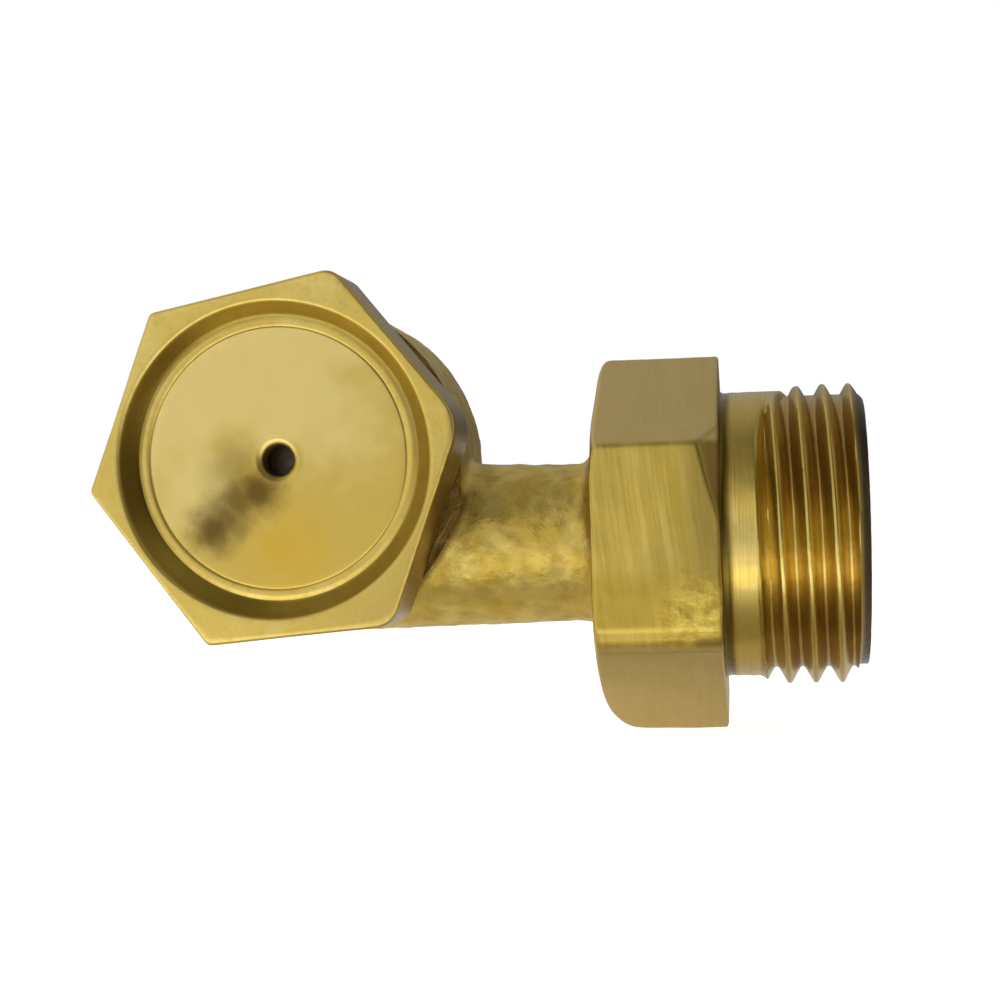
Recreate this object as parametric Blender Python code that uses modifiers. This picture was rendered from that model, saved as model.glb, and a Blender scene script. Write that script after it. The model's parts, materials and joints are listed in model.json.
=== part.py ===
"""Brass elbow nozzle for an oil burner: cast body, screwed hexagon cap and push-in inlet strainer.

World frame, in metres: +X runs out of the inlet thread, -Y is the spray direction and +Z is up.
The origin is on the inlet thread's axis, in the plane of the spanner collar's shoulder.

Two axes carry every turned piece, and each has its own local frame:
the cap axis has local Z pointing out of the cap's face, local X to the right and local Y up,
and the inlet axis has local Z pointing out of the spigot, with local X down.
"""

from math import cos, pi, radians, sin

import bmesh
import bpy

MM = 0.001

# Cap axis, seen from the inlet thread's axis
CAP_AXIS_X = -29.5 * MM
CAP_AXIS_Z = 5.95 * MM

# Elbow body. The turned spigot stands a little high of the middle of the cast arm and collar.
ARM_DROP = 0.2 * MM
COLLAR_DROP = 0.4 * MM
BOSS_R = 11.55 * MM
BOSS_FRONT = 5.0 * MM
BOSS_BACK = -6.4 * MM
BOSS_EDGE_ROUND = 1.2 * MM
SPOT_FACE_R = 12.05 * MM
ARM_R_AT_COLLAR = 5.58 * MM
ARM_R_AT_BOSS = 5.9 * MM
ARM_FLARE_R = 8.6 * MM
ARM_FLARE_LENGTH = 1.4 * MM
COLLAR_ACROSS_FLATS = 22.9 * MM
COLLAR_LENGTH = 8.55 * MM
COLLAR_DOME_R = 9.4 * MM
COLLAR_DOME_LENGTH = 2.6 * MM
COLLAR_CHAMFER = 0.9 * MM
COLLAR_CHAMFER_R = 11.3 * MM
SPIGOT_LENGTH = 9.9 * MM
SPIGOT_NECK_R = 10.0 * MM
SPIGOT_NECK_LENGTH = 2.3 * MM
SPIGOT_END_R = 9.15 * MM
SPIGOT_END_SLOPE = 1.35
POCKET_R = 6.6 * MM
POCKET_DEPTH = 16.0 * MM
POCKET_POINT = 2.4 * MM
OIL_WAY_R = 2.3 * MM
OIL_WAY_SET_BACK = 1.9 * MM
CHAMBER_R = 7.4 * MM
CHAMBER_FLOOR = -4.4 * MM
CHAMBER_THREAD_END = 0.5 * MM
CHAMBER_UNDERCUT_R = 8.55 * MM
CHAMBER_UNDERCUT_END = -0.7 * MM

# Inlet thread: G1/2, and cap thread: G3/8, both with Whitworth depth
INLET_THREAD_R = 10.4775 * MM
INLET_PITCH = 1.8143 * MM
INLET_FIRST_CREST = 2.58 * MM
CAP_THREAD_R = 8.331 * MM
CAP_PITCH = 1.3368 * MM
THREAD_DEPTH_PER_PITCH = 0.640327
THREAD_FLAT_SHARE = 1 / 6
THREAD_CLEARANCE = 0.18 * MM

# Cap, measured along its axis from the inlet axis
CAP_FACE = 12.4 * MM
CAP_BACK = 6.2 * MM
CAP_END = 0.6 * MM
CAP_NECK_R = 7.2 * MM
CAP_THREAD_START = 5.0 * MM
CAP_RECESS_R = 10.65 * MM
CAP_RECESS_FLOOR_R = 9.45 * MM
CAP_RECESS_DEPTH = 1.35 * MM
CAP_LIP_R = 8.8 * MM
CAP_PLATE_SEAT_R = 9.2 * MM
CAP_BORE_R = 5.65 * MM
# The hexagon was finished by hand, so its corners are not quite regular
CAP_CORNERS = (
    (12.75 * MM, 2.3 * MM),
    (4.4 * MM, 12.65 * MM),
    (-8.25 * MM, 10.12 * MM),
    (-12.72 * MM, -1.85 * MM),
    (-4.8 * MM, -12.36 * MM),
    (7.8 * MM, -11.3 * MM),
)

# Pieces held by the cap
FIT_GAP = 0.15 * MM
PLATE_THICKNESS = 1.6 * MM
PLATE_CHAMFER = 0.4 * MM
ORIFICE_R = 1.1 * MM
ORIFICE_SINK_R = 1.55 * MM
ORIFICE_SINK_DEPTH = 0.35 * MM
DISTRIBUTOR_THICKNESS = 2.3 * MM
DISTRIBUTOR_R = 5.5 * MM
SWIRL_POCKET_R = 2.2 * MM
SWIRL_POCKET_DEPTH = 1.0 * MM
SWIRL_SLOT_WIDTH = 0.9 * MM
SWIRL_SLOT_DEPTH = 0.8 * MM
SWIRL_SLOTS = 4
FEED_NOTCH_WIDTH = 1.6 * MM
FEED_NOTCH_DEPTH = 1.1 * MM
LOCK_SCREW_R = 5.5 * MM
LOCK_SCREW_PITCH = 1.0 * MM
LOCK_SCREW_LENGTH = 3.0 * MM
LOCK_SCREW_SOCKET = 5.0 * MM
LOCK_SCREW_SINK_R = 4.7 * MM
LOCK_SCREW_SINK_DEPTH = 0.8 * MM
WASHER_INNER_R = 8.6 * MM
WASHER_OUTER_R = 10.6 * MM

# Inlet strainer, measured along the inlet axis
STRAINER_FRONT = 8.6 * MM
STRAINER_COLLAR_LENGTH = 3.0 * MM
STRAINER_COLLAR_BORE_R = 4.0 * MM
STRAINER_COLLAR_CHAMFER = 0.6 * MM
GAUZE_R = 4.4 * MM
GAUZE_WALL = 0.3 * MM
GAUZE_TUCK = 1.35 * MM
GAUZE_LENGTH = 10.4 * MM
GAUZE_COLUMNS = 12
GAUZE_ROWS = 6
GAUZE_HOLE = 0.75 * MM
END_CAP_R = 5.1 * MM
END_CAP_FLOOR = 1.0 * MM
END_CAP_TUCK = 1.2 * MM

TURN_STEPS = 48
SMALL_TURN_STEPS = 24
THREAD_COLUMNS = 36
THREAD_ROWS_PER_PITCH = 6
MERGE = 0.000001
OVERRUN = 2.0 * MM


class Thread:
    """A right-hand thread with its crest centre at the given height where the angle is 0."""

    def __init__(self, crest_r, pitch, crest_at):
        self.crest_r = crest_r
        self.pitch = pitch
        self.crest_at = crest_at
        self.depth = THREAD_DEPTH_PER_PITCH * pitch

    def radius(self, height, angle):
        turn = (height - self.crest_at) / self.pitch - angle / (2 * pi)
        from_crest = 2 * abs(turn - round(turn))
        down_flank = (from_crest - THREAD_FLAT_SHARE) / (1 - 2 * THREAD_FLAT_SHARE)
        return self.crest_r - self.depth * min(max(down_flank, 0), 1)

    def stations(self, low, high):
        """Evenly spaced heights over the thread, each with this thread's radius."""
        count = round((high - low) / self.pitch * THREAD_ROWS_PER_PITCH)
        return [(low + (high - low) * i / count, self.radius) for i in range(count + 1)]


def clear_scene():
    for obj in list(bpy.data.objects):
        bpy.data.objects.remove(obj, do_unlink=True)


def new_collection(name, hidden=False):
    collection = bpy.data.collections.new(name)
    collection.hide_render = hidden
    bpy.context.scene.collection.children.link(collection)
    return collection


def new_axis(name, location, rotation):
    """An empty that carries the pieces turned about one axis."""
    empty = bpy.data.objects.new(name, None)
    empty.location = location
    empty.rotation_euler = rotation
    empty.empty_display_size = 5 * MM
    PARTS.objects.link(empty)
    return empty


def new_material(name, colour, roughness):
    material = bpy.data.materials.new(name)
    material.use_nodes = True
    shader = material.node_tree.nodes["Principled BSDF"]
    shader.inputs["Base Color"].default_value = (*colour, 1)
    shader.inputs["Metallic"].default_value = 1
    shader.inputs["Roughness"].default_value = roughness
    return material


def new_piece(name, mesh, axis, material):
    mesh.materials.append(material)
    obj = bpy.data.objects.new(name, mesh)
    obj.parent = axis
    PARTS.objects.link(obj)
    return obj


def new_helper(name, mesh, axis):
    """A hidden body that a Boolean adds to a piece, cuts from it or trims it with."""
    obj = bpy.data.objects.new(name, mesh)
    obj.parent = axis
    obj.hide_render = True
    obj.display_type = "WIRE"
    HELPERS.objects.link(obj)
    return obj


def mesh_from(name, build):
    """A mesh filled in by build(bm), with its faces turned outward."""
    bm = bmesh.new()
    build(bm)
    bmesh.ops.recalc_face_normals(bm, faces=bm.faces)
    mesh = bpy.data.meshes.new(name)
    bm.to_mesh(mesh)
    bm.free()
    return mesh


def profile_mesh(name, points, ring):
    """The (radius, height) points joined in a line, or in a closed loop for a ring."""
    mesh = bpy.data.meshes.new(name)
    edges = [(i, i + 1) for i in range(len(points) - 1)]
    if ring:
        edges.append((len(points) - 1, 0))
    mesh.from_pydata([(r, 0, z) for r, z in points], edges, [])
    return mesh


def add_turn(obj, steps):
    """Turn the object's profile once round its local Z axis."""
    screw = obj.modifiers.new("turn", "SCREW")
    screw.axis = "Z"
    screw.steps = steps
    screw.render_steps = steps
    screw.use_merge_vertices = True
    screw.merge_threshold = MERGE
    screw.use_smooth_shade = False
    return obj


def turned_piece(name, points, axis, material, ring=True, steps=TURN_STEPS):
    return add_turn(new_piece(name, profile_mesh(name, points, ring), axis, material), steps)


def turned_helper(name, points, axis, ring=False, steps=TURN_STEPS):
    return add_turn(new_helper(name, profile_mesh(name, points, ring), axis), steps)


def threaded_mesh(name, stations, columns=THREAD_COLUMNS):
    """A closed body round local Z. Each station has a height and a radius, and on a thread the
    radius is a function of the height and the angle."""

    def build(bm):
        rings = []
        for height, radius in stations:
            ring = []
            for column in range(columns):
                angle = 2 * pi * column / columns
                r = radius(height, angle) if callable(radius) else radius
                ring.append(bm.verts.new((r * cos(angle), r * sin(angle), height)))
            rings.append(ring)
        for lower, upper in zip(rings, rings[1:]):
            for i in range(columns):
                j = (i + 1) % columns
                bm.faces.new((lower[i], lower[j], upper[j], upper[i]))
        bm.faces.new(rings[0])
        bm.faces.new(rings[-1])

    return mesh_from(name, build)


def prism_mesh(name, corners, low, high):
    """A flat outline filled and extruded between two heights on local Z."""
    curve = bpy.data.curves.new(name, "CURVE")
    curve.dimensions = "2D"
    curve.fill_mode = "BOTH"
    curve.extrude = (high - low) / 2
    spline = curve.splines.new("POLY")
    spline.points.add(len(corners) - 1)
    for point, (x, y) in zip(spline.points, corners):
        point.co = (x, y, 0, 1)
    spline.use_cyclic_u = True
    outline = bpy.data.objects.new(name, curve)
    HELPERS.objects.link(outline)
    bpy.context.view_layer.update()
    graph = bpy.context.evaluated_depsgraph_get()
    mesh = bpy.data.meshes.new_from_object(outline.evaluated_get(graph))
    bpy.data.objects.remove(outline)
    bm = bmesh.new()
    bm.from_mesh(mesh)
    bmesh.ops.remove_doubles(bm, verts=bm.verts, dist=MERGE)
    bmesh.ops.translate(bm, verts=bm.verts, vec=(0, 0, (low + high) / 2))
    bmesh.ops.recalc_face_normals(bm, faces=bm.faces)
    bm.to_mesh(mesh)
    bm.free()
    return mesh


def hexagon(across_flats, first_corner=0.0):
    corner_r = across_flats / 2 / cos(pi / 6)
    angles = [first_corner + pi / 3 * i for i in range(6)]
    return [(corner_r * cos(a), corner_r * sin(a)) for a in angles]


def boxes_mesh(name, boxes):
    """Separate boxes, each given as (low corner, high corner, turn about local Z)."""

    def build(bm):
        for low, high, turn in boxes:
            made = bmesh.ops.create_cube(bm, size=1)["verts"]
            for vert in made:
                x, y, z = [lo + (hi - lo) * (c + 0.5) for lo, hi, c in zip(low, high, vert.co)]
                vert.co = (x * cos(turn) - y * sin(turn), x * sin(turn) + y * cos(turn), z)

    return mesh_from(name, build)


def combine(target, operation, other):
    boolean = target.modifiers.new(other.name, "BOOLEAN")
    boolean.operation = operation
    boolean.solver = "EXACT"
    boolean.object = other


def make_elbow_body():
    """The casting: boss, arm, hexagon collar and threaded spigot, bored for the oil."""
    boss_profile = [
        (0, BOSS_FRONT),
        (BOSS_R - 0.3 * MM, BOSS_FRONT),
        (BOSS_R, BOSS_FRONT - 0.3 * MM),
        (BOSS_R, BOSS_BACK + BOSS_EDGE_ROUND),
        (BOSS_R - 0.3 * BOSS_EDGE_ROUND, BOSS_BACK + 0.3 * BOSS_EDGE_ROUND),
        (BOSS_R - BOSS_EDGE_ROUND, BOSS_BACK),
        (0, BOSS_BACK),
    ]
    body = turned_piece("elbow_body", boss_profile, CAP_AXIS, CAST_BRASS, ring=False)
    combine(body, "UNION", arm())
    combine(body, "DIFFERENCE", spot_face())
    combine(body, "UNION", collar())
    combine(body, "UNION", spigot())
    combine(body, "DIFFERENCE", whirl_chamber())
    combine(body, "DIFFERENCE", oil_way())
    combine(body, "DIFFERENCE", inlet_pocket())
    return body


def arm():
    """The cast arm from inside the collar to the boss's own axis, a little thicker at the boss."""
    flare_end = -COLLAR_LENGTH - ARM_FLARE_LENGTH
    points = [
        (0, -COLLAR_LENGTH + OVERRUN),
        (ARM_FLARE_R, -COLLAR_LENGTH + OVERRUN),
        (ARM_FLARE_R, -COLLAR_LENGTH),
        (ARM_R_AT_COLLAR + 0.6 * MM, -COLLAR_LENGTH - 0.4 * ARM_FLARE_LENGTH),
        (ARM_R_AT_COLLAR, flare_end),
        (ARM_R_AT_BOSS, CAP_AXIS_X + 5 * MM),
        (ARM_R_AT_BOSS, CAP_AXIS_X),
        (0.8 * ARM_R_AT_BOSS, CAP_AXIS_X - 3 * MM),
        (0, CAP_AXIS_X - 4.5 * MM),
    ]
    helper = turned_helper("arm", points, INLET_AXIS)
    helper.location = (ARM_DROP, 0, 0)
    return helper


def spot_face():
    """Faces the boss and the arm's front flat, so that the cap's washer seats."""
    points = [
        (0, BOSS_FRONT + 4 * MM),
        (SPOT_FACE_R, BOSS_FRONT + 4 * MM),
        (SPOT_FACE_R, BOSS_FRONT),
        (0, BOSS_FRONT),
    ]
    return turned_helper("spot_face", points, CAP_AXIS)


def collar():
    """The spanner hexagon, with a corner up, domed towards the arm and chamfered at the shoulder."""
    mesh = prism_mesh("collar_hexagon", hexagon(COLLAR_ACROSS_FLATS), -COLLAR_LENGTH, 0)
    hexagon_helper = new_helper("collar_hexagon", mesh, INLET_AXIS)
    hexagon_helper.location = (COLLAR_DROP, 0, 0)
    corner_r = COLLAR_ACROSS_FLATS / 2 / cos(pi / 6)
    envelope = [
        (0, OVERRUN),
        (COLLAR_CHAMFER_R, OVERRUN),
        (COLLAR_CHAMFER_R, 0),
        (corner_r + 0.1 * MM, -COLLAR_CHAMFER),
        (corner_r + 0.1 * MM, -COLLAR_LENGTH + COLLAR_DOME_LENGTH),
        (corner_r - 0.9 * MM, -COLLAR_LENGTH + 0.35 * COLLAR_DOME_LENGTH),
        (corner_r - 2.2 * MM, -COLLAR_LENGTH + 0.08 * COLLAR_DOME_LENGTH),
        (COLLAR_DOME_R, -COLLAR_LENGTH - 0.1 * MM),
        (0, -COLLAR_LENGTH - 0.1 * MM),
    ]
    envelope_helper = turned_helper("collar_envelope", envelope, INLET_AXIS)
    envelope_helper.location = (COLLAR_DROP, 0, 0)
    combine(hexagon_helper, "INTERSECT", envelope_helper)
    return hexagon_helper


def spigot():
    """The threaded spigot: plain neck, thread and end chamfer."""
    thread = Thread(INLET_THREAD_R, INLET_PITCH, INLET_FIRST_CREST)

    def chamfered(height, angle):
        limit = SPIGOT_END_R + SPIGOT_END_SLOPE * (SPIGOT_LENGTH - height)
        return min(thread.radius(height, angle), limit)

    stations = [(-OVERRUN, SPIGOT_NECK_R), (SPIGOT_NECK_LENGTH, SPIGOT_NECK_R)]
    for height, _ in thread.stations(SPIGOT_NECK_LENGTH + 0.1 * MM, SPIGOT_LENGTH):
        stations.append((height, chamfered))
    return new_helper("spigot", threaded_mesh("spigot", stations), INLET_AXIS)


def cap_thread(clearance=0.0):
    return Thread(CAP_THREAD_R + clearance, CAP_PITCH, CAP_THREAD_START)


def whirl_chamber():
    """The boss's threaded mouth, its undercut and the round chamber under it."""
    thread = cap_thread(THREAD_CLEARANCE)
    stations = [
        (CHAMBER_FLOOR, CHAMBER_R),
        (CHAMBER_UNDERCUT_END, CHAMBER_R),
        (CHAMBER_UNDERCUT_END, CHAMBER_UNDERCUT_R),
        (CHAMBER_THREAD_END, CHAMBER_UNDERCUT_R),
    ]
    stations += thread.stations(CHAMBER_THREAD_END, BOSS_FRONT + CAP_PITCH)
    return new_helper("whirl_chamber", threaded_mesh("whirl_chamber", stations), CAP_AXIS)


def oil_way():
    """The drilling along the arm that enters the chamber at a tangent to its lower wall."""
    above_inlet_axis = CAP_AXIS_Z - CHAMBER_R + OIL_WAY_R
    points = [
        (0, -COLLAR_LENGTH + OVERRUN),
        (OIL_WAY_R, -COLLAR_LENGTH + OVERRUN),
        (OIL_WAY_R, CAP_AXIS_X),
        (0, CAP_AXIS_X - 0.4 * OIL_WAY_R),
    ]
    cutter = turned_helper("oil_way", points, INLET_AXIS, steps=SMALL_TURN_STEPS)
    cutter.location = (-above_inlet_axis, OIL_WAY_SET_BACK, 0)
    return cutter


def inlet_pocket():
    """The spigot's bore, which holds the strainer and ends in a drill point."""
    bottom = SPIGOT_LENGTH - POCKET_DEPTH
    points = [
        (0, SPIGOT_LENGTH + OVERRUN),
        (POCKET_R, SPIGOT_LENGTH + OVERRUN),
        (POCKET_R, bottom),
        (OIL_WAY_R, bottom - POCKET_POINT),
        (0, bottom - POCKET_POINT),
    ]
    return turned_helper("inlet_pocket", points, INLET_AXIS)


def make_cap():
    """The hexagon cap: recess and plate seat in front, threaded hollow plug behind."""
    mesh = prism_mesh("cap", CAP_CORNERS, CAP_BACK, CAP_FACE)
    cap = new_piece("cap", mesh, CAP_AXIS, TURNED_BRASS)
    combine(cap, "UNION", cap_plug())
    floor = CAP_FACE - CAP_RECESS_DEPTH
    seat = floor - PLATE_THICKNESS - FIT_GAP
    bore_profile = [
        (0, CAP_FACE + OVERRUN),
        (CAP_RECESS_R, CAP_FACE + OVERRUN),
        (CAP_RECESS_R, CAP_FACE),
        (CAP_RECESS_FLOOR_R, floor),
        (CAP_LIP_R, floor),
        (CAP_PLATE_SEAT_R, floor - PLATE_CHAMFER),
        (CAP_PLATE_SEAT_R, seat),
        (CAP_BORE_R, seat),
        (CAP_BORE_R, CAP_END - OVERRUN),
        (0, CAP_END - OVERRUN),
    ]
    combine(cap, "DIFFERENCE", turned_helper("cap_bore", bore_profile, CAP_AXIS))
    return cap


def cap_plug():
    """The neck under the hexagon and the male thread below it, with a lead-in chamfer."""
    thread = cap_thread()
    lead_in = thread.crest_r - thread.depth

    def chamfered(height, angle):
        return min(thread.radius(height, angle), lead_in + (height - CAP_END))

    stations = [(height, chamfered) for height, _ in thread.stations(CAP_END, CAP_THREAD_START)]
    stations += [(CAP_THREAD_START, CAP_NECK_R), (CAP_BACK + OVERRUN, CAP_NECK_R)]
    return new_helper("cap_plug", threaded_mesh("cap_plug", stations), CAP_AXIS)


def make_orifice_plate():
    """The disc with the spray hole, captive behind the cap's rolled lip."""
    front = CAP_FACE - CAP_RECESS_DEPTH
    back = front - PLATE_THICKNESS
    rim = CAP_PLATE_SEAT_R - FIT_GAP
    points = [
        (ORIFICE_SINK_R, front),
        (CAP_LIP_R - FIT_GAP, front),
        (rim, front - PLATE_CHAMFER),
        (rim, back),
        (ORIFICE_R, back),
        (ORIFICE_R, front - ORIFICE_SINK_DEPTH),
    ]
    return turned_piece("orifice_plate", points, CAP_AXIS, POLISHED_BRASS)


def make_distributor():
    """The swirl disc: slots lead in at a tangent to the pocket behind the orifice."""
    front = CAP_FACE - CAP_RECESS_DEPTH - PLATE_THICKNESS - 2 * FIT_GAP
    back = front - DISTRIBUTOR_THICKNESS
    points = [
        (0, front - SWIRL_POCKET_DEPTH),
        (SWIRL_POCKET_R, front - SWIRL_POCKET_DEPTH),
        (SWIRL_POCKET_R, front),
        (DISTRIBUTOR_R, front),
        (DISTRIBUTOR_R, back),
        (0, back),
    ]
    disc = turned_piece("distributor", points, CAP_AXIS, TURNED_BRASS, ring=False)
    slot_side = SWIRL_POCKET_R - SWIRL_SLOT_WIDTH
    notch_side = slot_side + (SWIRL_SLOT_WIDTH - FEED_NOTCH_WIDTH) / 2
    slot = ((0.2 * MM, slot_side, front - SWIRL_SLOT_DEPTH),
            (DISTRIBUTOR_R + OVERRUN, slot_side + SWIRL_SLOT_WIDTH, front + OVERRUN))
    notch = ((DISTRIBUTOR_R - FEED_NOTCH_DEPTH, notch_side, back - OVERRUN),
             (DISTRIBUTOR_R + OVERRUN, notch_side + FEED_NOTCH_WIDTH, front + 2 * OVERRUN))
    turns = [2 * pi * i / SWIRL_SLOTS for i in range(SWIRL_SLOTS)]
    for kind, (low, high) in (("swirl_slots", slot), ("feed_notches", notch)):
        cutter = new_helper(kind, boxes_mesh(kind, [(low, high, turn) for turn in turns]), CAP_AXIS)
        combine(disc, "DIFFERENCE", cutter)
    return disc


def make_lock_screw():
    """The hollow screw behind the distributor, turned with a hexagon key."""
    gaps = 3 * FIT_GAP
    front = CAP_FACE - CAP_RECESS_DEPTH - PLATE_THICKNESS - DISTRIBUTOR_THICKNESS - gaps
    back = front - LOCK_SCREW_LENGTH
    thread = Thread(LOCK_SCREW_R, LOCK_SCREW_PITCH, back)
    mesh = threaded_mesh("lock_screw", thread.stations(back, front))
    screw = new_piece("lock_screw", mesh, CAP_AXIS, TURNED_BRASS)
    socket = prism_mesh("socket", hexagon(LOCK_SCREW_SOCKET), back - OVERRUN, front + OVERRUN)
    combine(screw, "DIFFERENCE", new_helper("socket", socket, CAP_AXIS))
    sink = [
        (0, front + OVERRUN),
        (LOCK_SCREW_SINK_R, front + OVERRUN),
        (LOCK_SCREW_SINK_R, front - LOCK_SCREW_SINK_DEPTH),
        (0, front - LOCK_SCREW_SINK_DEPTH),
    ]
    combine(screw, "DIFFERENCE", turned_helper("screw_sink", sink, CAP_AXIS))
    return screw


def make_cap_washer():
    high = CAP_BACK - FIT_GAP
    low = BOSS_FRONT + FIT_GAP
    points = [
        (WASHER_OUTER_R, high),
        (WASHER_OUTER_R, low),
        (WASHER_INNER_R, low),
        (WASHER_INNER_R, high),
    ]
    return turned_piece("cap_washer", points, CAP_AXIS, COPPER)


def make_strainer_collar():
    """The ring pushed into the spigot's bore, with the gauze tucked into its back."""
    back = STRAINER_FRONT - STRAINER_COLLAR_LENGTH
    rim = POCKET_R - FIT_GAP
    tuck_r = GAUZE_R + FIT_GAP
    points = [
        (STRAINER_COLLAR_BORE_R + STRAINER_COLLAR_CHAMFER, STRAINER_FRONT),
        (rim - 0.3 * MM, STRAINER_FRONT),
        (rim, STRAINER_FRONT - 0.3 * MM),
        (rim, back + 0.3 * MM),
        (rim - 0.3 * MM, back),
        (tuck_r, back),
        (tuck_r, back + GAUZE_TUCK + FIT_GAP),
        (STRAINER_COLLAR_BORE_R, back + GAUZE_TUCK + FIT_GAP),
        (STRAINER_COLLAR_BORE_R, STRAINER_FRONT - STRAINER_COLLAR_CHAMFER),
    ]
    return turned_piece("strainer_collar", points, INLET_AXIS, TURNED_BRASS)


def gauze_ends():
    high = STRAINER_FRONT - STRAINER_COLLAR_LENGTH + GAUZE_TUCK
    return high - GAUZE_LENGTH, high


def make_strainer_gauze():
    """The thimble's wall, pierced in a regular grid between the collar and the end cap."""
    low, high = gauze_ends()
    points = [
        (GAUZE_R, high),
        (GAUZE_R, low),
        (GAUZE_R - GAUZE_WALL, low),
        (GAUZE_R - GAUZE_WALL, high),
    ]
    steps = 2 * GAUZE_COLUMNS
    gauze = turned_piece("strainer_gauze", points, INLET_AXIS, BRONZE, steps=steps)
    bare_low = low + END_CAP_TUCK + 0.3 * MM
    bare_high = high - GAUZE_TUCK - 0.3 * MM
    row_step = (bare_high - bare_low) / GAUZE_ROWS
    boxes = []
    for row in range(GAUZE_ROWS):
        middle = bare_low + row_step * (row + 0.5)
        corner = (GAUZE_R - 3 * GAUZE_WALL, -GAUZE_HOLE / 2, middle - GAUZE_HOLE / 2)
        far_corner = (GAUZE_R + 2 * GAUZE_WALL, GAUZE_HOLE / 2, middle + GAUZE_HOLE / 2)
        for column in range(GAUZE_COLUMNS):
            turn = 2 * pi * (column + 0.25) / GAUZE_COLUMNS
            boxes.append((corner, far_corner, turn))
    cutter = new_helper("gauze_holes", boxes_mesh("gauze_holes", boxes), INLET_AXIS)
    combine(gauze, "DIFFERENCE", cutter)
    return gauze


def make_strainer_end_cap():
    """The cup over the thimble's inner end."""
    gauze_low, _ = gauze_ends()
    inner_r = GAUZE_R + FIT_GAP
    floor = gauze_low - FIT_GAP
    points = [
        (0, floor),
        (inner_r, floor),
        (inner_r, gauze_low + END_CAP_TUCK),
        (END_CAP_R, gauze_low + END_CAP_TUCK),
        (END_CAP_R, floor - END_CAP_FLOOR + 0.3 * MM),
        (END_CAP_R - 0.3 * MM, floor - END_CAP_FLOOR),
        (0, floor - END_CAP_FLOOR),
    ]
    return turned_piece("strainer_end_cap", points, INLET_AXIS, TURNED_BRASS, ring=False)


clear_scene()
PARTS = new_collection("oil_burner_nozzle")
HELPERS = new_collection("helpers", hidden=True)
CAP_AXIS = new_axis("cap_axis", (CAP_AXIS_X, 0, CAP_AXIS_Z), (radians(90), 0, 0))
INLET_AXIS = new_axis("inlet_axis", (0, 0, 0), (0, radians(90), 0))
CAST_BRASS = new_material("cast_brass", (0.56, 0.38, 0.12), 0.42)
TURNED_BRASS = new_material("turned_brass", (0.66, 0.47, 0.17), 0.28)
POLISHED_BRASS = new_material("polished_brass", (0.76, 0.58, 0.26), 0.3)
COPPER = new_material("copper", (0.72, 0.36, 0.2), 0.35)
BRONZE = new_material("bronze_gauze", (0.5, 0.33, 0.16), 0.45)
make_elbow_body()
make_cap()
make_orifice_plate()
make_distributor()
make_lock_screw()
make_cap_washer()
make_strainer_collar()
make_strainer_gauze()
make_strainer_end_cap()
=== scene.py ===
import json
from math import ceil, cos, pi, radians, sin

import bpy
import numpy as np
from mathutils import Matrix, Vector, noise


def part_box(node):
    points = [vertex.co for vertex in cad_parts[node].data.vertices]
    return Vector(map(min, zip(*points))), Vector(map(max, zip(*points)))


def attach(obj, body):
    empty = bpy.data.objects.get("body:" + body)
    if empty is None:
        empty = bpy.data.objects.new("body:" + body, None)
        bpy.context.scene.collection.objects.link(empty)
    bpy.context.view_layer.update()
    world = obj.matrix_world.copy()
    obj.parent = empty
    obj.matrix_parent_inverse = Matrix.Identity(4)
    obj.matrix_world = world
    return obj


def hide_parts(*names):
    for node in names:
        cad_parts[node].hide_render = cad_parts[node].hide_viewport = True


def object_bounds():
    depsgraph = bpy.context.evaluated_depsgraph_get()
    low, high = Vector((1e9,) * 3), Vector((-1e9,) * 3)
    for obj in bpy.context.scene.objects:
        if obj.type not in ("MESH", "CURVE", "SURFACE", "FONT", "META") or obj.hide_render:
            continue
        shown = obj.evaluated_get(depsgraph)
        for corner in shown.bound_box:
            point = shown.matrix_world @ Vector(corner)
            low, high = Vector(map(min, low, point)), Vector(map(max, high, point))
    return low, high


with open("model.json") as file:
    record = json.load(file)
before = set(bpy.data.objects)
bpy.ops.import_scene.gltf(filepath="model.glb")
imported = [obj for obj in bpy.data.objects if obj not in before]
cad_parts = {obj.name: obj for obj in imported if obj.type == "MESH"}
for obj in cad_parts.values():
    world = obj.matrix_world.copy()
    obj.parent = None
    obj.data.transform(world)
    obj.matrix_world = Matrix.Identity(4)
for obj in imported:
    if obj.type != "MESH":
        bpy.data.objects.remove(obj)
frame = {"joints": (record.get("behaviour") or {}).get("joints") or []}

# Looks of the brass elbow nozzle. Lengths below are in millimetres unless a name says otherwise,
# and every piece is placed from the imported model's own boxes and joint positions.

CAD_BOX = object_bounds()
MM = 0.001

CAP_HINGE = next(j for j in frame["joints"] if j["name"] == "cap_unscrew")
CAP_X, _, CAP_Z = [c / MM for c in CAP_HINGE["pos_m"]]
SPIGOT_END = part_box("elbow_body")[1].x / MM
CAP_FACE = -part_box("cap")[0].y / MM
CAP_END = -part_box("cap")[1].y / MM
PLATE_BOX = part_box("orifice_plate")
PLATE_FRONT = -PLATE_BOX[0].y / MM
PLATE_BACK = -PLATE_BOX[1].y / MM
PLATE_R = (PLATE_BOX[1].x - PLATE_BOX[0].x) / 2 / MM
WASHER_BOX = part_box("cap_washer")
WASHER_R = (WASHER_BOX[1].x - WASHER_BOX[0].x) / 2 / MM
STRAINER_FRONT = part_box("strainer_collar")[1].x / MM
STRAINER_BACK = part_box("strainer_collar")[0].x / MM

THREAD_DEPTH_PER_PITCH = 0.640327
INLET_THREAD = dict(crest=10.4775, pitch=1.8143, crest_at=2.58)
CAP_THREAD = dict(crest=8.331, pitch=1.3368, crest_at=5.0)
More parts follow.
